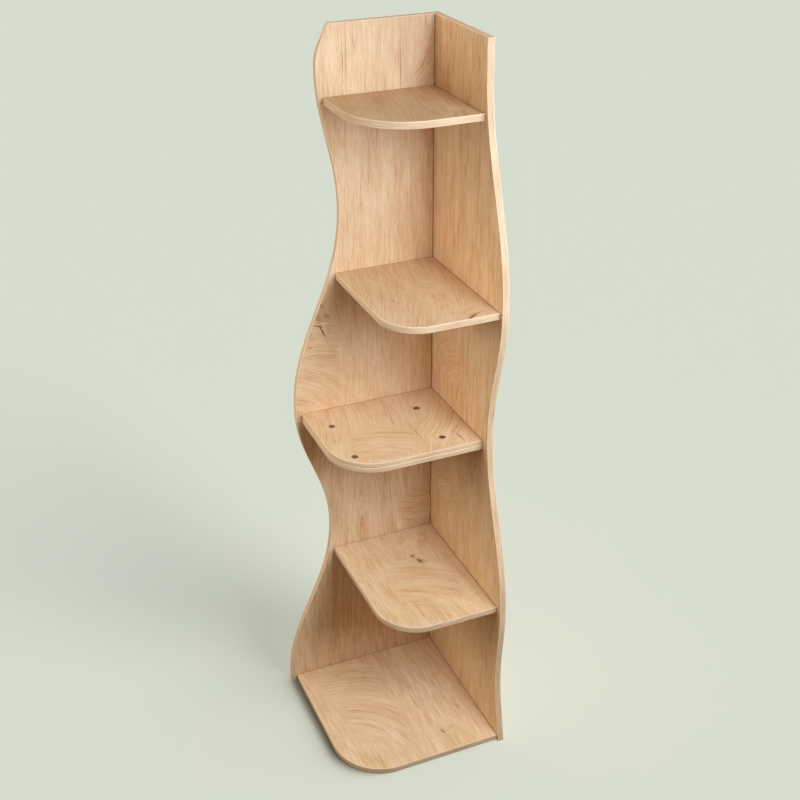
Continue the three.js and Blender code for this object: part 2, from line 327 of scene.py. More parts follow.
def shelf_rows(shelf):
    """At a distance p from the side panel the front edge stands at the shelf's depth, and within the
    rounding at depth - radius + radius * cos(angle), where p = width - radius + radius * sin(angle)."""
    width, depth, low, high = shelf_size(shelf)
    width, depth, radius = width - strip, depth - strip, shelf_radius[shelf] - strip
    turn = np.linspace(0, math.pi / 2, rounding_steps)
    straight = np.linspace(0, width - radius, board_steps, endpoint=False)
    left = np.concatenate([straight, width - radius + radius * np.sin(turn)])
    front = np.concatenate([np.full(board_steps, depth), depth - radius + radius * np.cos(turn)])
    height = np.array([high] * 5 + [low] * 5)
    y = corner_y - front[:, None] * out_and_back
    x = np.broadcast_to((corner_x - left)[:, None], y.shape)
    return np.stack([x, y, np.broadcast_to(height, y.shape)], axis=-1)


shelves = {}
for shelf in shelf_radius:
    node = f"{shelf}_board"
    shelves[node] = dress(node, shelf_rows(shelf))
    width, depth, low, high = shelf_size(shelf)
    print(f"{shelf}: {width * 1000:.1f} x {depth * 1000:.1f} mm at {high * 1000:.1f}")

# %% Strips round the shelves
def shelf_strip_rows(shelf):
    """The path leads along the left edge, round the corner and along the front. The profile stands out
    from it along the path's outward direction, which turns from left to front in the rounding."""
    width, depth, low, high = shelf_size(shelf)
    inner = shelf_radius[shelf] - strip
    turn = np.linspace(0, math.pi / 2, rounding_steps)
    middle = np.stack([width - strip - inner + inner * np.cos(turn),
                       depth - strip - inner + inner * np.sin(turn)], axis=-1)
    facing = np.stack([np.cos(turn), np.sin(turn)], axis=-1)
    lead = np.linspace(0, 1, lead_steps, endpoint=False)[:, None]
    first = np.array([width - strip, 0]) + lead * (middle[0] - [width - strip, 0])
    last = middle[-1] + (1 - lead[::-1]) * ([0, depth - strip] - middle[-1])
    path = np.concatenate([first, middle, last])
    outwards = np.pad(facing, ((lead_steps, lead_steps), (0, 0)), mode="edge")
    out, across, pattern = strip_profile(high - low)
    plan = path[:, None] + outwards[:, None] * out[:, None]
    height = np.broadcast_to(high - across, plan.shape[:2])
    rows = np.stack([corner_x - plan[..., 0], corner_y - plan[..., 1], height], axis=-1)
    return rows, lengths(path), pattern


for shelf in shelf_radius:
    node = f"{shelf}_edge_band"
    rows, along, across = shelf_strip_rows(shelf)
    strips[node] = dress(node, rows, along, across)
print(len(strips), "strips in all")

# %% [markdown]
# ## Turned fasteners
#
# Screws, bolts and sleeve nuts are turned parts: a profile spun round an axis. Only their key sockets are
# not round. A loop is a circle or a hexagon of the same number of points, so one skin can pass from the
# round head into the six-sided socket.

# %% Turn a profile round an axis
def turned_rows(profile, foot, axis, points=48):
    """Each entry of the profile is a radius and a place along the axis, and the word hexagon where the
    loop has six sides. A circle has that radius all round. A hexagon has it at its corners, and radius *
    cos(30) / cos(a) between them, where a runs from -30 to 30 degrees along each side."""
    angle = np.linspace(0, 2 * math.pi, points, endpoint=False)
    within = np.mod(angle, math.pi / 3) - math.pi / 6
    circle, hexagon = np.ones(points), math.cos(math.pi / 6) / np.cos(within)
    radius = np.array([entry[0] * (hexagon if "hexagon" in entry else circle) for entry in profile])
    place = np.array([entry[1] for entry in profile])
    axis = np.array(axis, float)
    helper = np.array([0.0, 0.0, 1.0]) if abs(axis[2]) < 0.5 else np.array([1.0, 0.0, 0.0])
    first = np.cross(axis, helper)
    second = np.cross(axis, first)
    round_it = np.cos(angle)[:, None] * first + np.sin(angle)[:, None] * second
    return np.array(foot) + place[:, None, None] * axis + radius[..., None] * round_it

# %% [markdown]
# The screws are the usual one-piece connecting screws: a flat countersunk head with a hexagon socket, a
# plain neck and a blunt thread. They lie three tenths of a millimetre below the outer faces.

# %% Connecting screws
def screw_profile(length):
    """From the tip to the socket's floor, in metres along the axis that points out of the board."""
    core, crest, neck, rim, key = 0.0021, 0.0025, 0.0028, 0.0039, 0.00173
    pitch = 0.003
    ridges = []
    for turn in range(10):
        start = 0.004 + turn * pitch
        ridges += [(core, start), (crest, start + pitch / 2)]
    return [(0.0009, 0), (core, 0.003), *ridges, (core, 0.0345), (neck, 0.0355), (neck, length - 0.0028),
            (rim, length - 0.0003), (rim, length), (0.0019, length), (key, length, "hexagon"),
            (key, length - 0.0022, "hexagon"), (0.0006, length - 0.0026)]


screws = {}
for node in frame["nodes"]:
    if "_screw_" not in node:
        continue
    low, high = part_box(node)
    middle = (low + high) / 2
    if "_side_screw_" in node:
        length, axis, foot = high.x - low.x, (1, 0, 0), (low.x, middle.y, middle.z)
    else:
        length, axis, foot = high.y - low.y, (0, 1, 0), (middle.x, low.y, middle.z)
    screws[node] = dress(node, turned_rows(screw_profile(length), foot, axis, 24))
print(len(screws), "screws of", round(length * 1000, 1), "mm")

# %% [markdown]
# Four bolts hold the two boards of the middle shelf together, and with them the two halves of the unit.
# Their flat round heads are the only metal that the photograph shows. Each turns into a sleeve nut with
# the same head, which comes up from below.

# %% Bolts and sleeve nuts
shank, sleeve, bore = 0.003, 0.0045, 0.0034
head_rim, head_under, head_face, head_height = 0.00775, 0.0072, 0.0066, 0.002
key_edge, key, key_floor = 0.0035, 0.00289, 0.0012


def bolt_profile(length):
    """From the foot of the shank to the floor of the socket in the head."""
    under = length - head_height
    return [(0.0024, 0), (shank, 0.0006), (shank, under), (head_under, under), (head_rim, under + 0.0004),
            (head_rim, under + 0.0011), (0.0074, under + 0.0016), (head_face, length), (key_edge, length),
            (0.0032, length - 0.0002), (key, length - 0.0003, "hexagon"),
            (key, length - 0.0014, "hexagon"), (key_floor, length - 0.0016)]


def sleeve_profile(length):
    """The same head below, then the round sleeve up to its open end, whose bore takes the bolt."""
    return [(key_floor, 0.0016), (key, 0.0014, "hexagon"), (key, 0.0003, "hexagon"), (0.0032, 0.0002),
            (key_edge, 0), (head_face, 0), (0.0074, 0.0004), (head_rim, 0.0009), (head_rim, 0.0016),
            (head_under, head_height), (sleeve, head_height), (sleeve, length - 0.0004),
            (0.0042, length), (bore, length), (bore, length - 0.012)]


fittings = {}
for node in frame["nodes"]:
    if node.startswith(("joining_bolt", "sleeve_nut")):
        low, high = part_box(node)
        middle = (low + high) / 2
        profile = bolt_profile if node.startswith("joining_bolt") else sleeve_profile
        rows = turned_rows(profile(high.z - low.z), (middle.x, middle.y, low.z), (0, 0, 1))
        fittings[node] = dress(node, rows)
print(len(fittings), "bolts and sleeve nuts")

# %% [markdown]
# ## Node helpers
#
# A procedural finish is a chain of small sums, and the helpers below keep the chains readable. Most of
# them add a node, feed it and hand on its output. The last one starts a group, which is a finish that
# several materials can share.

# %% Add a node, start a group
def feed(tree, socket, value):
    """Feeds an input with another node's socket or with a plain value."""
    if isinstance(value, bpy.types.NodeSocket):
        tree.links.new(value, socket)
    else:
        socket.default_value = value


def place(tree, kind, feeds=None, out=0, **settings):
    """Adds a shader node, sets its options, feeds its named inputs and returns one of its outputs."""
    node = tree.nodes.new("ShaderNode" + kind)
    for option, value in settings.items():
        setattr(node, option, value)
    for label, value in (feeds or {}).items():
        feed(tree, node.inputs[label], value)
    return node.outputs[out]


def split(tree, vector):
    """The three numbers of a vector."""
    node = tree.nodes.new("ShaderNodeSeparateXYZ")
    tree.links.new(vector, node.inputs[0])
    return node.outputs


def joined(tree, *numbers):
    return place(tree, "CombineXYZ", dict(enumerate(numbers)))


def maths(tree, operation, *terms):
    return place(tree, "Math", dict(enumerate(terms)), operation=operation)


def vectors(tree, operation, *terms, out=0):
    return place(tree, "VectorMath", dict(enumerate(terms)), out=out, operation=operation)


def ramp(tree, value, low, high, to_low=0.0, to_high=1.0, smooth=True):
    """Maps low..high to to_low..to_high and holds the ends, with soft shoulders if smooth."""
    kind = "SMOOTHSTEP" if smooth else "LINEAR"
    feeds = {"Value": value, "From Min": low, "From Max": high, "To Min": to_low, "To Max": to_high}
    return place(tree, "MapRange", feeds, interpolation_type=kind)


def noise(tree, vector, seed, scale=1.0, detail=2.0, roughness=0.5):
    feeds = {"Vector": vector, "W": seed, "Scale": scale, "Detail": detail, "Roughness": roughness}
    return place(tree, "TexNoise", feeds, noise_dimensions="4D")


def new_group(name, inputs, outputs):
    """A node group with named sockets. Plain numbers and vectors are told apart by their defaults."""
    group = bpy.data.node_groups.new(name, "ShaderNodeTree")
    for way, sockets in (("INPUT", inputs), ("OUTPUT", outputs)):
        for label, value in sockets.items():
            kind = "NodeSocketFloat" if isinstance(value, float) else "NodeSocketVector"
            socket = group.interface.new_socket(label, in_out=way, socket_type=kind)
            socket.default_value = value
    source, sink = group.nodes.new("NodeGroupInput"), group.nodes.new("NodeGroupOutput")
    return group, source.outputs, sink.inputs

# %% [markdown]
# ## The rings behind the grain
#
# A sawn board shows the year rings of the log as contour lines. One number, the ring value, says how far
# a place lies from the heart, and everything else in the grain follows it. A plain board is sawn far from
# the heart and shows near straight lines. One that is sawn close to it shows a nest of pointed arches, so
# the value falls off along the board there. A slow and a quick noise keep the lines from looking ruled.

# %% Group: the ring value of a board
tree, source, sink = new_group(
    "Rings of a board",
    {"Place": (0, 0, 0), "Heart line": 0.0, "Dive": 0.0, "Apex": 0.0, "Sway": 0.03, "Seed": 0.0},
    {"Ring": 0.0})
heart_roundness = 0.00002
dive_fade = -14.0
parts = split(tree, source["Place"])
slow =noise(tree, vectors(tree, "MULTIPLY", source["Place"], (5, 1.2, 5)), source["Seed"])
quick = noise(tree, vectors(tree, "MULTIPLY", source["Place"], (32, 12, 32)), source["Seed"], detail=3)
sway = maths(tree, "MULTIPLY", maths(tree, "SUBTRACT", slow, 0.5), source["Sway"])
offset = maths(tree, "ADD", maths(tree, "SUBTRACT", parts[0], source["Heart line"]), sway)
distance = maths(tree, "SQRT", maths(tree, "MULTIPLY_ADD", offset, offset, heart_roundness))
above = maths(tree, "SUBTRACT", parts[1], source["Apex"])
falling = maths(tree, "EXPONENT", maths(tree, "MULTIPLY", distance, dive_fade))
diving = maths(tree, "MULTIPLY", maths(tree, "MULTIPLY", above, source["Dive"]), falling)
tremble = maths(tree, "MULTIPLY_ADD", quick, 0.007, -0.0035)
tree.links.new(maths(tree, "ADD", maths(tree, "ADD", distance, tremble), diving), sink["Ring"])
print("ring group has", len(tree.nodes), "nodes")

# %% [markdown]
# A soft oval window says where something local happens: a knot that pushes the rings aside, a dark crack,
# a smudge or a pale fleck. Its hill is smooth, for what has to fade, and its mask has a clearer rim. It
# reaches only half way through the board, as the film on the far face shows another piece of the print.

# %% Group: oval window
tree, source, sink = new_group(
    "Oval window",
    {"Place": (0, 0, 0), "Centre": (0, 0, 0), "Reach": (0.02, 0.03, 1), "Turn": 0.0},
    {"Hill": 0.0, "Mask": 0.0})
apart = vectors(tree, "SUBTRACT", source["Place"], source["Centre"])
turned = place(tree, "VectorRotate", {"Vector": apart, "Angle": source["Turn"]},
               rotation_type="Z_AXIS")
shares = vectors(tree, "DIVIDE", turned, source["Reach"])
square = vectors(tree, "DOT_PRODUCT", shares, shares, out=1)
hill = maths(tree, "EXPONENT", maths(tree, "MULTIPLY", square, -1.0))
tree.links.new(hill, sink["Hill"])
tree.links.new(ramp(tree, hill, 0.3, 0.95), sink["Mask"])
print("window group has", len(tree.nodes), "nodes")

# %% [markdown]
# Noise that is drawn out along the grain needs to know two things: how far across the rings a place lies,
# and how far along them. That pair is the flow. On a plain board it is the ring value and the length of
# the board. Where the saw met the log obliquely the rings sweep round in wide arcs. There the flow is the
# distance from a core somewhere off the arc, and the way round it.

# %% Groups: flow of a plain board, flow of an arc
tree, source, sink = new_group("Plain flow", {"Place": (0, 0, 0), "Ring": 0.0}, {"Flow": (0, 0, 0)})
parts = split(tree, source["Place"])
run = maths(tree, "MULTIPLY_ADD", parts[0], 0.7, parts[1])
tree.links.new(joined(tree, source["Ring"], run), sink["Flow"])

tree, source, sink = new_group(
    "Arc flow", {"Place": (0, 0, 0), "Core": (0, 0, 0), "Radius": 0.2, "Seed": 0.0}, {"Flow": (0, 0, 0)})
from_core = vectors(tree, "MULTIPLY", vectors(tree, "SUBTRACT", source["Place"], source["Core"]), (1, 1, 0))
parts = split(tree, from_core)
angle = maths(tree, "ARCTAN2", parts[1], parts[0])
quick = noise(tree, vectors(tree, "MULTIPLY", source["Place"], (26, 26, 26)), source["Seed"], detail=3)
tremble = maths(tree, "MULTIPLY_ADD", quick, 0.009, vectors(tree, "LENGTH", from_core, out=1))
tree.links.new(joined(tree, tremble, maths(tree, "MULTIPLY", angle, source["Radius"])), sink["Flow"])
print("arc group has", len(tree.nodes), "nodes")

# %% [markdown]
# ## The oak print
#
# The print has seven layers: fine fibres, short dark pores, long thin streaks, bands of lighter and
# darker wood, small mottles, a dark line of late wood in each ring, and clouds of another hue. Patches
# make the fibres and the late wood bold in one place and faint in the next, as on real oak. The group
# gives one vector: how dark the print is, how high its surface lies, and which of the two hues it has.
# So two prints can be blended in one node.

# %% Group: the oak print
tree, source, sink = new_group(
    "Oak print", {"Flow": (0, 0, 0), "Lines": 0.1, "Year": 0.006, "Seed": 0.0}, {"Look": (0, 0, 0)})
seed = source["Seed"]


def drawn_out(sideways, lengthways):
    """A place for a noise: the flow with so many grains to the metre sideways and lengthways."""
    return vectors(tree, "MULTIPLY", source["Flow"], (sideways, lengthways, 1))


fibres = noise(tree, drawn_out(290, 14), seed, detail=3, roughness=0.65)
pores = ramp(tree, noise(tree, drawn_out(460, 48), seed, detail=1), 0.55, 0.7)
streaks = ramp(tree, noise(tree, drawn_out(190, 5), seed, detail=1), 0.53, 0.68)
bands = noise(tree, drawn_out(62, 3.5), seed, detail=3, roughness=0.6)
mottles = noise(tree, drawn_out(70, 36), seed, detail=2)
clouds = noise(tree, drawn_out(15, 8), seed, detail=1)
patches = noise(tree, drawn_out(26, 8), seed, detail=1)
year = maths(tree, "FRACT", maths(tree, "DIVIDE", split(tree, source["Flow"])[0], source["Year"]))
late = maths(tree, "MULTIPLY", ramp(tree, year, 0.2, 0.75), ramp(tree, year, 0.78, 1.0, 1.0, 0.0))
late = maths(tree, "MULTIPLY", late, ramp(tree, patches, 0.3, 0.56))
bold = ramp(tree, patches, 0.36, 0.64, 0.8, 1.16)
darkness = maths(tree, "MULTIPLY", ramp(tree, fibres, 0.3, 0.7, 0.48, 0.0, smooth=False), bold)
for layer, weight in ((pores, 0.2), (streaks, 0.17)):
    darkness = maths(tree, "MULTIPLY_ADD", layer, weight, darkness)
for layer, weight in ((bands, 0.17), (mottles, 0.12)):
    darkness = maths(tree, "ADD", darkness, ramp(tree, layer, 0.3, 0.7, weight, 0.0, smooth=False))
darkness = maths(tree, "MULTIPLY_ADD", late, source["Lines"], darkness)
relief = maths(tree, "SUBTRACT", fibres, pores)
tree.links.new(joined(tree, darkness, relief, clouds), sink["Look"])
print("oak print group has", len(tree.nodes), "nodes")

# %% [markdown]
# ## Board material
#
# One function makes the material of a board from its own figures, because no two boards of the unit
# show the same piece of the print. The grain runs up the panels and from back to front in the shelves.
# The film is nearly matt, with fine pores pressed into it, so roughness and bump follow the fibres. More
# sheen would lay the pale room over the wood and wash out the deep orange of its shadows. A painted
# hairline of shade darkens the inner corners, where board meets board.

# %% Helpers for a material
light_oak = np.array([0.82, 0.57, 0.32])
honey_oak = np.array([0.8, 0.575, 0.305])
dark_oak = (0.54, 0.252, 0.086, 1)
knot_brown = (0.2, 0.08, 0.021, 1)
pale_fleck = (0.93, 0.7, 0.46, 1)
# corner_shade_brown and the three numbers after it paint shade into the inner corners where boards meet.
corner_shade_brown = (0.21, 0.1, 0.04, 1)
corner_shade_full, corner_shade_end, corner_shade_share = 0.0006, 0.0034, 0.72
mean_darkness = 0.48
plain_lines = 0.12
film_sheen = 0.15
grain_axes = {"back": (0, 2, 1), "side": (1, 2, 0), "shelf": (0, 1, 2)}
inner_face = {"back": corner_y, "side": corner_x}
window_depth = board / 2
boards = {**panels, **shelves}


def mixed(tree, share, first, second, kind="RGBA"):
    """Blends two colours, or two vectors, each a socket or a plain value."""
    node = tree.nodes.new("ShaderNodeMix")
    node.data_type = kind
    for label, value in {"Factor": share, "A": first, "B": second}.items():
        feed(tree, next(s for s in node.inputs if s.name == label and s.enabled), value)
    return next(s for s in node.outputs if s.enabled)


def grouped(tree, group, out, feeds):
    return place(tree, "Group", feeds, out, node_tree=bpy.data.node_groups[group])


def new_material(name):
    material = bpy.data.materials.new(name)
    material.use_nodes = True
    tree = material.node_tree
    return material, tree, tree.nodes["Principled BSDF"].inputs


def surface(tree, shader, colour, roughness, height, strength, deep):
    """Feeds colour and roughness, and a bump of that strength that is so many metres deep."""
    bump = place(tree, "Bump", {"Strength": strength, "Distance": deep, "Height": height})
    for label, socket in {"Base Color": colour, "Roughness": roughness, "Normal": bump}.items():
        tree.links.new(socket, shader[label])


def film(shader):
    shader["IOR"].default_value = 1.45
    shader["Specular IOR Level"].default_value = film_sheen

# %% Windows, prints and spots of one board
def metres(row, count):
    """A row of figures with its first ones turned from millimetres into metres."""
    return [value / 1000 for value in row[:count]] + list(row[count:])


def window(tree, out, where, x, y, wide, long, turn=0):
    return grouped(tree, "Oval window", out, {
        "Place": where, "Centre": (x, y, 0), "Turn": math.radians(turn), "Reach": (wide, long, window_depth)})


def board_print(tree, where, seed, heart_line=-0.4, dive=0.0, apex=0.0, sway=0.03, arcs=(), knots=()):
    """A knot is its centre, its reach, its lift, which is added to the ring value, and its turn in
    degrees, if any. An arc is its window's centre and reach, its core, and how much its lines show."""
    ring = grouped(tree, "Rings of a board", "Ring", {
        "Place": where, "Heart line": heart_line, "Dive": dive, "Apex": apex, "Sway": sway, "Seed": seed})
    for x, y, wide, long, lift, *turn in (metres(row, 5) for row in knots):
        ring = maths(tree, "MULTIPLY_ADD", window(tree, "Hill", where, x, y, wide, long, *turn), lift, ring)
    flow = grouped(tree, "Plain flow", "Flow", {"Place": where, "Ring": ring})
    look = grouped(tree, "Oak print", "Look", {"Flow": flow, "Lines": plain_lines, "Seed": seed})
    for x, y, wide, long, core_x, core_y, lines in (metres(row, 6) for row in arcs):
        radius = math.hypot(x - core_x, y - core_y)
        flow = grouped(tree, "Arc flow", "Flow", {
            "Place": where, "Core": (core_x, core_y, 0), "Radius": radius, "Seed": seed})
        swept = grouped(tree, "Oak print", "Look", {"Flow": flow, "Lines": lines, "Seed": seed + x})
        share = ramp(tree, window(tree, "Hill", where, x, y, wide, long), 0.15, 0.55)
        look = mixed(tree, share, look, swept, "VECTOR")
    return look


def spot_masks(tree, where, spots):
    """A spot is its centre, its reach, its depth and its turn in degrees, if any. Dark spots have a
    depth above 0 and pale ones below. Returns the sum of each kind, or None where there is none."""
    sums = {True: None, False: None}
    for x, y, wide, long, depth, *turn in (metres(row, 4) for row in spots):
        mask = window(tree, "Mask", where, x, y, wide, long, *turn)
        dark = depth > 0
        so_far = 0.0 if sums[dark] is None else sums[dark]
        sums[dark] = maths(tree, "MULTIPLY_ADD", mask, abs(depth), so_far)
    return sums[True], sums[False]

# %% Material of one board
def oak_board(node, spots=(), painted_light_scale=1.0, strength=1.0, **figures):
    """Makes the finish of one board and lays it on. Of the axes X and Y that meet another board, a panel
    has both in one inner corner, where their distances are added up, and a shelf has a joint on each; along
    these the colour is darkened as painted shade. painted_light_scale makes the whole print lighter or
    darker, as painted light and shade for the light that falls on this board. strength spreads the print's
    darkness round its usual mean. The other figures are the print's."""
    lie = next((side for side in waves if side in node), "shelf")
    short_name = node.removesuffix("_board")
    material, tree, shader = new_material("oak_" + short_name)
    parts = split(tree, place(tree, "TexCoord", out="Object"))
    seen_face = inner_face[lie] if lie in inner_face else shelf_size(short_name)[3]
    where = joined(tree, *(parts[axis] for axis in grain_axes[lie]))
    where = vectors(tree, "SUBTRACT", where, (0, 0, seen_face))
    darkness, relief, clouds = split(tree, board_print(tree, where, **figures))
    darkness = maths(tree, "MULTIPLY_ADD", darkness, strength, mean_darkness * (1 - strength))
    hue = ramp(tree, clouds, 0.36, 0.64)
    # Painted light and shade: painted_light_scale makes this board's whole print lighter or darker for the
    # light that falls on it.
    colour = mixed(tree, hue, (*(painted_light_scale * light_oak), 1), (*(painted_light_scale * honey_oak), 1))
    colour = mixed(tree, darkness, colour, dark_oak)
    dark, pale = spot_masks(tree, where, spots)
    if pale:
        colour = mixed(tree, pale, colour, pale_fleck)
    if dark:
        broken = maths(tree, "MULTIPLY", dark, ramp(tree, relief, 0.6, 0.4, 0.45, 1.0))
        colour = mixed(tree, broken, colour, knot_brown)
    # Painted shade: each inner corner where boards meet is darkened towards corner_shade_brown within a few
    # millimetres.
    for corner in (((0,), (1,)) if lie == "shelf" else ((0, 1),)):
        gap = 0.0
        for axis in corner:
            away = maths(tree, "SUBTRACT", parts[axis], (corner_x, corner_y)[axis])
            gap = maths(tree, "ADD", maths(tree, "ABSOLUTE", away), gap)
        colour = mixed(tree, ramp(tree, gap, corner_shade_full, corner_shade_end, corner_shade_share, 0.0), colour, corner_shade_brown)
    surface(tree, shader, colour, ramp(tree, relief, 0.3, 0.7, 0.56, 0.46), relief, 0.12, 0.0004)
    film(shader)
    boards[node].data.materials.append(material)

# %% [markdown]
# The arcs, knots and spots below are in millimetres, read off the photograph: across the grain first,
# then along it. They are what makes each board the board of this unit: the knot with its crack at the
# left of the middle bay, the arches behind the fourth bay, the check at the front of the upper shelf.

# %% Panels in oak
# Each painted_light_scale below makes a panel lighter or darker as painted light and shade.
oak_board(
    "upper_back_panel", seed=3.1, painted_light_scale=1.05,
    arcs=[(-125, 910, 85, 95, -200, 780, 0.34), (-95, 1040, 50, 70, -120, 800, 0.16),
          (187, 1690, 36, 70, 20, 1800, 0.2)],
    knots=[(100, 1300, 12, 22, 10), (-88, 1128, 20, 30, 20, -20)],
    spots=[(-90.5, 1067, 2.6, 21, 1.7, -23), (-96, 1082, 6, 3.4, 1.1, 20), (-105, 1085, 2, 11, 1, -75),
           (-86, 1089, 16, 3.4, -0.8), (-98, 1115, 30, 50, 0.2, -15), (-101, 1106, 11, 20, 0.34, -22),
           (-88, 1134, 17, 7, 0.3, 30), (-78, 1108, 14, 4, 0.3, 18), (-74, 1068, 9, 12, 0.16),
           (-120, 1058, 8, 18, 0.24, -15), (-125, 1031, 13, 4.2, 0.42, 12), (-80, 1035, 5, 8, 0.18),
           (-61, 997, 9, 2.8, 0.26, 15), (-96, 998, 10, 4, 0.13), (-138, 975, 6, 8, 0.16),
           (-50, 1012, 14, 7, -0.25), (-12, 978, 3, 14, 0.18), (10, 1748, 1.9, 18, 0.9),
           (-20, 1725, 1.6, 60, 0.6), (-12, 1735, 1.6, 55, 0.64), (-18, 1560, 1.4, 90, 0.42),
           (119.5, 1690, 1.4, 60, 0.76), (190, 1694, 1.8, 13, 0.55, 38), (175, 1688, 1.6, 7, 0.45, 20),
           (198, 1660, 1.6, 10, 0.4, 38), (186, 1765, 1.4, 14, 0.28, 15), (88, 1297, 4, 28, 0.18),
           (87, 1390, 2.5, 12, 0.2), (145, 983, 1.8, 16, 0.28)])
oak_board(
    "lower_back_panel", seed=7.7, strength=1.3,
    heart_line=0.0, dive=0.17, apex=0.62, sway=0.012,
    arcs=[(168, 495, 55, 60, 90, 310, 0.2)],
    knots=[(-12, 436, 8, 12, 8), (-60, 80, 16, 50, 20)],
    spots=[(-18, 560, 1.5, 60, 0.3, 3), (-8, 445, 2, 20, 0.22), (143, 448, 10, 2, 0.22, 15),
           (4, 605, 1.8, 12, 0.3), (-56, 67, 4, 20, 0.16), (-82, 109, 3, 16, 0.14)])
oak_board(
    "upper_side_panel", seed=12.4, strength=1.2,
    arcs=[(110, 980, 55, 60, 30, 860, 0.16)],
    knots=[(-17, 1662, 18, 22, 20), (-13, 1736, 12, 24, 12)],
    spots=[(-13, 1738, 6, 16, 0.22), (-18, 1690, 6, 14, 0.2, -10), (-4, 1325, 2.2, 22, 0.4),
           (3, 1275, 4, 24, 0.16), (196, 964, 3, 4, 0.45)])
oak_board(
    "lower_side_panel", seed=17.9, painted_light_scale=0.94, strength=1.3,
    arcs=[(100, 600, 70, 60, 20, 420, 0.14)],
    knots=[(45, 577, 16, 20, 16, 20), (85, 462, 14, 14, 16)],
    spots=[(88, 460, 2.2, 18, 0.4, 58), (48, 577, 12, 8, 0.14, 20), (6, 280, 1.8, 30, 0.24)])
print("panels in", [piece.active_material.name for piece in panels.values()])

# %% Shelves in oak
# painted_light_scale on the shelves is painted light and shade as well; the top shelf is darkened most.
oak_board(
    "top_shelf_board", seed=21.3, painted_light_scale=0.84,
    arcs=[(70, 80, 400, 400, -900, 260, 0.12)],
    spots=[(96, 78, 10, 14, 0.1), (108, 20, 16, 50, 0.18, 5), (135, 110, 25, 35, 0.1),
           (40, 150, 20, 60, 0.1, 15), (165, 20, 24, 30, -0.16), (-20, 40, 22, 60, -0.14, 15),
           (41, 25, 8, 14, 0.1)])
oak_board(
    "upper_shelf_board", seed=26.8, painted_light_scale=0.97,
    arcs=[(50, 20, 500, 500, -900, 330, 0.14), (120, 50, 50, 40, 20, -40, 0.12),
          (165, -115, 45, 35, 200, -260, 0.14)],
    spots=[(138.5, -140, 3.4, 22, 1.7, 54), (161, -127, 2.4, 15, 1, 74), (185, -124.5, 1.5, 18, 0.6, 96),
           (148, -130, 18, 10, 0.2), (35, 100, 2.5, 16, 0.22), (79, 165, 2.2, 16, 0.2),
           (-30, 155, 2.5, 22, 0.18, -12), (8, 12, 8, 24, 0.12, -15)])
oak_board(
    "upper_joining_board", seed=31.5, painted_light_scale=1.03,
    arcs=[(0, 60, 500, 500, -950, 360, 0.09), (-20, 0, 85, 80, -90, -200, 0.16),
          (150, 60, 62, 140, -290, 360, 0.1)],
    spots=[(73.5, 20, 1.8, 85, 0.46), (163, -45, 2.7, 34, 0.9, -4), (106, -36, 1.6, 12, 0.26, -10),
           (-130, 10, 4, 6, 0.14), (-125, 55, 9, 18, 0.14)])
oak_board(
    "lower_joining_board", seed=36.2,
    knots=[(20, 50, 30, 50, 20)])
oak_board(
    "lower_shelf_board", seed=41.1, painted_light_scale=0.97, strength=1.15,
    arcs=[(80, -20, 85, 110, -70, -280, 0.22), (128, 165, 45, 45, -140, 320, 0.3),
          (98, 78, 20, 26, 125, 78, 0.1)],
    spots=[(95.5, 91, 6.2, 7, 0.85), (96, 90, 13, 14, 0.24), (105.5, 64, 6, 14, 0.85, -18),
           (106.5, 60, 15, 26, 0.34, -18), (78, 120, 8, 10, 0.16, -20), (150, 160, 10, 16, -0.25, -30)])
oak_board(
    "base_board", seed=46.6, painted_light_scale=1.07,
    arcs=[(-80, 120, 90, 80, -180, -170, 0.12), (-70, -40, 75, 125, -200, -170, 0.13)],
    knots=[(80, -153, 10, 14, 10), (100, 140, 16, 30, 12), (100, 20, 14, 30, -10)],
    spots=[(79, -153, 4.6, 10, 0.62, -20), (82, -150, 14, 18, 0.14, -20), (100, -145, 18, 7, 0.12),
           (-78, -52, 2.6, 45, -0.5, -34), (-50, -115, 2.6, 48, -0.5, -19), (-64, -48, 2, 40, -0.36, -36),
           (-37, -110, 2, 45, -0.36, -15), (-60, 170, 55, 8, 0.14, 18), (95, 60, 14, 90, 0.12),
           (98, 130, 3, 18, 0.14, 20), (32, -203, 1.4, 24, 0.24, -10), (26, -140, 1.4, 30, 0.22)])
print("shelves in", [piece.active_material.name for piece in shelves.values()])

# %% [markdown]
# ## Edge strip material
#
# The strip is a plastic or paper tape printed with straight fine grain that runs along it. It is paler
# and pinker than the faces. Its pattern follows the strip round every curve, so it reads the strip's own
# map: metres along, and a share across that is 1 at the arrises. The paler line there is partly the
# scraped edge and partly a painted highlight.

# %% Strip material
strip_material, tree, shader = new_material("oak_strip")
mapped = place(tree, "UVMap", uv_map="strip")
fine = noise(tree, vectors(tree, "MULTIPLY", mapped, (14, 3.4, 1)), 4.0, detail=4, roughness=0.6)
broad = noise(tree, vectors(tree, "MULTIPLY", mapped, (5, 1.2, 1)), 9.0, detail=2)
# Partly painted highlight: edge is 1 at the arrises, where the colour turns paler, partly as scraped edge and
# partly as the bright line of light along them.
edge = ramp(tree, maths(tree, "ABSOLUTE", split(tree, mapped)[1]), 0.78, 0.96)
dark = maths(tree, "ADD", ramp(tree, fine, 0.38, 0.62, 0.6, 0.0, smooth=False),
             ramp(tree, broad, 0.3, 0.7, 0.2, 0.0, smooth=False))
colour = mixed(tree, dark, (0.76, 0.5, 0.27, 1), (0.48, 0.26, 0.11, 1))
colour = mixed(tree, maths(tree, "MULTIPLY", edge, 0.75), colour, (0.9, 0.67, 0.41, 1))
surface(tree, shader, colour, ramp(tree, fine, 0.3, 0.7, 0.5, 0.42), fine, 0.1, 0.0003)
film(shader)
for piece in strips.values():
    piece.data.materials.append(strip_material)
print("strip material on", len(strips), "strips")

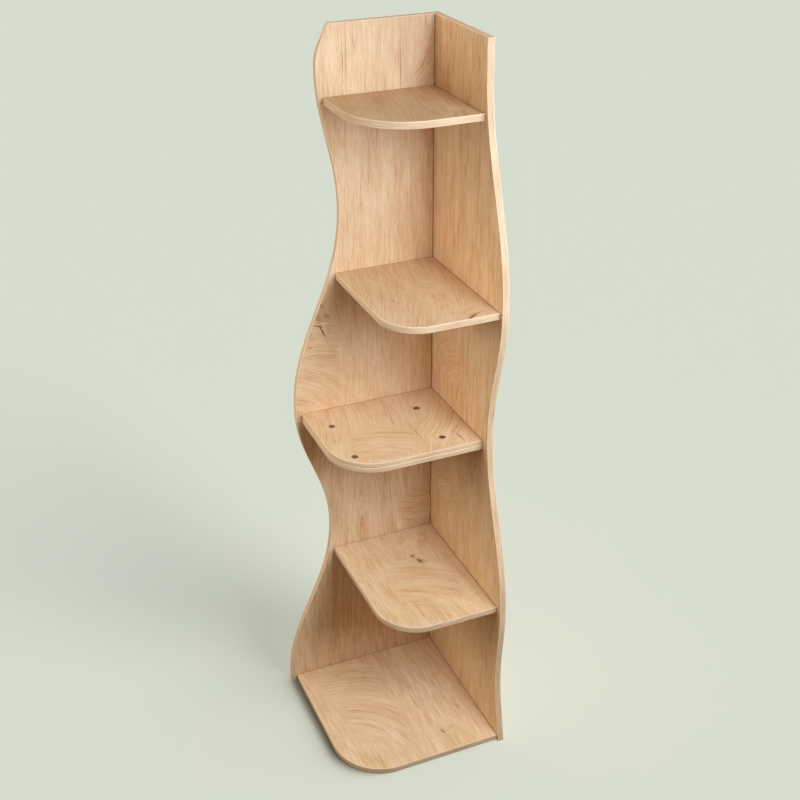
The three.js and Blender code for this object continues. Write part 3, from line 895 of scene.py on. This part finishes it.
# %% [markdown]
# ## Metal
#
# The bolt heads are browned steel that has gone dull, the screws bright zinc. Both are plain metal with
# a colour that wanders slightly, finer roughness on the flats and a trace of tool marks.

# %% Metal materials
def metal(name, low_colour, high_colour, rough, scale):
    material, tree, shader = new_material(name)
    where = place(tree, "TexCoord", out="Object")
    stain = noise(tree, where, 2.0, scale=scale, detail=3)
    colour = mixed(tree, ramp(tree, stain, 0.35, 0.65), low_colour, high_colour)
    roughness = ramp(tree, stain, 0.3, 0.7, rough + 0.1, rough - 0.05)
    marks = noise(tree, where, 5.0, scale=scale * 9, detail=2)
    surface(tree, shader, colour, roughness, marks, 0.15, 0.0001)
    shader["Metallic"].default_value = 1.0
    return material


browned_steel = metal("browned_steel", (0.26, 0.16, 0.085, 1), (0.4, 0.275, 0.17, 1), 0.42, 260)
bright_zinc = metal("bright_zinc", (0.52, 0.54, 0.56, 1), (0.68, 0.69, 0.68, 1), 0.3, 300)
for pieces, material in ((fittings, browned_steel), (screws, bright_zinc)):
    for piece in pieces.values():
        piece.data.materials.append(material)
print("metal on", len(fittings) + len(screws), "fasteners")

# %% [markdown]
# ## Floor and world
#
# The photograph shows one even pale green, floor and background alike. A large plane seen from above
# fills the frame, and the world shows the same colour where a lower view looks past its edge. The floor
# lies a hair under the unit, as unit and floor never touch all over, which leaves a dark line of contact.

# %% Floor and background
backdrop = (0.672, 0.716, 0.617, 1)
half_floor = 60.0
floor_gap = 0.001
square = [(x * half_floor, y * half_floor, -floor_gap) for x, y in ((-1, -1), (1, -1), (1, 1), (-1, 1))]
floor_mesh = bpy.data.meshes.new("floor")
floor_mesh.from_pydata(square, [], [(0, 1, 2, 3)])
floor = add_object("floor", floor_mesh)
floor_material, tree, shader = new_material("pale_green_floor")
shader["Base Color"].default_value = backdrop
shader["Roughness"].default_value = 0.9
shader["Specular IOR Level"].default_value = 0.0


def seen_directly(tree):
    """1 for what the camera sees straight, in a reflection or through glass, and 0 for stray light."""
    rays = tree.nodes.new("ShaderNodeLightPath").outputs
    seen = maths(tree, "MAXIMUM", rays["Is Camera Ray"], rays["Is Transmission Ray"])
    return maths(tree, "MAXIMUM", seen, rays["Is Glossy Ray"])


dull_floor = place(tree, "BsdfDiffuse", {"Color": (0.08, 0.05, 0.03, 1)})
pale_floor = tree.nodes["Principled BSDF"].outputs[0]
both = place(tree, "MixShader", {0: seen_directly(tree), 1: dull_floor, 2: pale_floor})
tree.links.new(both, tree.nodes["Material Output"].inputs["Surface"])
floor_mesh.materials.append(floor_material)

world = bpy.data.worlds.new("studio")
bpy.context.scene.world = world
world.use_nodes = True
tree = world.node_tree
fill_level = 0.08
fill_colour = (1.0, 0.91, 0.78)
fill = place(tree, "Background", {"Color": (*fill_colour, 1), "Strength": fill_level})
shown = place(tree, "Background", {"Color": backdrop, "Strength": 1.0})
both = place(tree, "MixShader", {0: seen_directly(tree), 1: fill, 2: shown})
tree.links.new(both, tree.nodes["World Output"].inputs["Surface"])
print("floor and world ready")

# %% [markdown]
# ## Light
#
# The upper bays of the unit are bright and their shelves throw short shadows, while the lower bays are dim
# under long ones. Only soft lamps close in front, a little above the top, do that: here two tall boxes side
# by side. A lower one to the right, one at the left, a wide weak sky from either side, and screens low
# behind, which reach only the outer faces, complete the studio.
#
# A lamp that close would leave a bright pool on the floor, so the lamps in front light the unit alone.
# Light linking does this in Cycles: a lamp lights only what its receiver collection holds. The floor has
# lamps of its own. One throws the faint shadow that runs to the left and back, one from above darkens the
# floor close by, and one, which only the base board blocks, draws the line of contact under its left edge.
# The strip round the base sends no stray light down, as its orange glow would wash out that line.

# %% Two sets of receivers
receivers = {"unit": bpy.data.collections.new("unit_receivers"),
             "floor": bpy.data.collections.new("floor_receivers")}
for item in bpy.context.scene.objects:
    if item.type == "MESH":
        receivers["floor" if item == floor else "unit"].objects.link(item)
base_alone = bpy.data.collections.new("base_board_alone")
for piece in (shelves["base_board"], strips["base_edge_band"]):
    base_alone.objects.link(piece)


def add_lamp(name, kind, lights, energy, colour):
    lamp = bpy.data.lights.new(name, kind)
    lamp.energy, lamp.color = energy, colour
    lamp_object = add_object(name, lamp)
    lamp_object.light_linking.receiver_collection = receivers[lights]
    return lamp, lamp_object


def sun(name, lights, right_of_front, above, level, width, colour=(1, 1, 1)):
    """A sun that stands that many degrees right of the unit's front and above the floor. At level 1 it
    shows a surface that faces it in its own colour, which takes pi watts on each square metre."""
    lamp, lamp_object = add_lamp(name, "SUN", lights, math.pi * level, colour)
    lamp.angle = math.radians(width)
    lamp_object.rotation_euler = (math.radians(90 - above), 0, math.radians(right_of_front))
    return lamp_object


def floor_sun(name, right_of_front, above, share, width, tinge=(1, 1, 1)):
    """A sun for the floor alone, whose share of the floor's light is its level times the sine of its
    height. Its colour makes up for the tinge that the world's fill leaves on the floor. A tinge of its
    own cools its shadow and warms another's. All three together light the open floor white."""
    left = (1 - fill_level * np.array(fill_colour)) * tinge
    return sun(name, "floor", right_of_front, above, share / math.sin(math.radians(above)), width, left)


def soft_lamp(name, right_of_front, distance, height, watts, width, colour, tall=None):
    """A soft lamp at that distance from the unit's middle axis, turned to a point half way up. It is a
    round one, or a box as tall as tall says."""
    lamp, lamp_object = add_lamp(name, "AREA", "unit", watts, colour)
    lamp.shape, lamp.size = "DISK", width
    if tall:
        lamp.shape, lamp.size_y = "RECTANGLE", tall
    turn = math.radians(right_of_front)
    spot = Vector((distance * math.sin(turn), -distance * math.cos(turn), height))
    aim = (Vector((0, 0, 0.9)) - spot).to_track_quat("-Z", "Y")
    lamp_object.matrix_world = Matrix.Translation(spot) @ aim.to_matrix().to_4x4()

# %% Lamps
box_height = 1.3
soft_lamp("front_box", 8, 1.8, 2.3, 14.6, 0.6, (0.9, 1.12, 1.5), tall=box_height)
soft_lamp("right_box", 16, 1.8, 2.1, 26.6, 0.6, (0.88, 1.15, 1.66), tall=box_height)
soft_lamp("low_right_lamp", 36, 1.8, 1.5, 12, 0.7, (0.96, 1.04, 1.26))
soft_lamp("left_lamp", -90, 1.3, 1.38, 7.2, 0.8, (1.00, 1.1, 1.28))
sun("left_screen", "unit", -120, 10, 0.41, 60, (1.03, 1.02, 1.04))
sun("left_sky", "unit", -120, 30, 0.16, 150, (1.06, 0.93, 0.74))
sun("right_sky", "unit", 60, 30, 0.16, 150, (1.05, 0.93, 0.76))
sun("rear_screen", "unit", 180, 8, 0.65, 30, (1.0, 1.04, 1.14))
sun("rear_right_screen", "unit", 100, 8, 0.55, 30, (1.0, 1.04, 1.14))
floor_sun("floor_shadow", 35, 34, 0.31, 36, (1.14, 1.07, 1))
floor_sun("floor_ceiling", 75, 80, 0.12, 40)
contact_lamp = floor_sun("floor_contact", 75, 27, 0.57, 45, (0.924, 0.962, 1))
contact_lamp.light_linking.blocker_collection = base_alone
strips["base_edge_band"].visible_diffuse = False

# %% [markdown]
# ## Camera
#
# The camera looks down at 29 degrees from the front left, as the photograph does. Its place comes from
# fitting the unit's corners to the picture. The lens is in millimetres on a sensor 36 mm wide.

# %% Camera at the photograph's viewpoint
stand = (-0.9756, -2.34694, 2.37379)
aim = (0.342553, 0.804719, -0.484855)
roll = math.radians(-0.2845)
camera = add_object("camera", bpy.data.cameras.new("camera"))
camera.data.lens = 55.22
camera.data.clip_end = 200
forward = Vector(aim).normalized()
level_right = forward.cross(Vector((0, 0, 1))).normalized()
level_up = level_right.cross(forward)
right = level_right * math.cos(roll) + level_up * math.sin(roll)
up = right.cross(forward)
turn = Matrix((right, up, -forward)).transposed()
camera.matrix_world = Matrix.Translation(stand) @ turn.to_4x4()
bpy.context.scene.camera = camera
bpy.context.scene.view_settings.view_transform = "Standard"
print("camera at", tuple(round(v, 3) for v in camera.location))

# %% [markdown]
# ## Last step
#
# The last cell only loads the json module. The dressed model has to stay inside the CAD part's box.

# %% Load the json module
import json
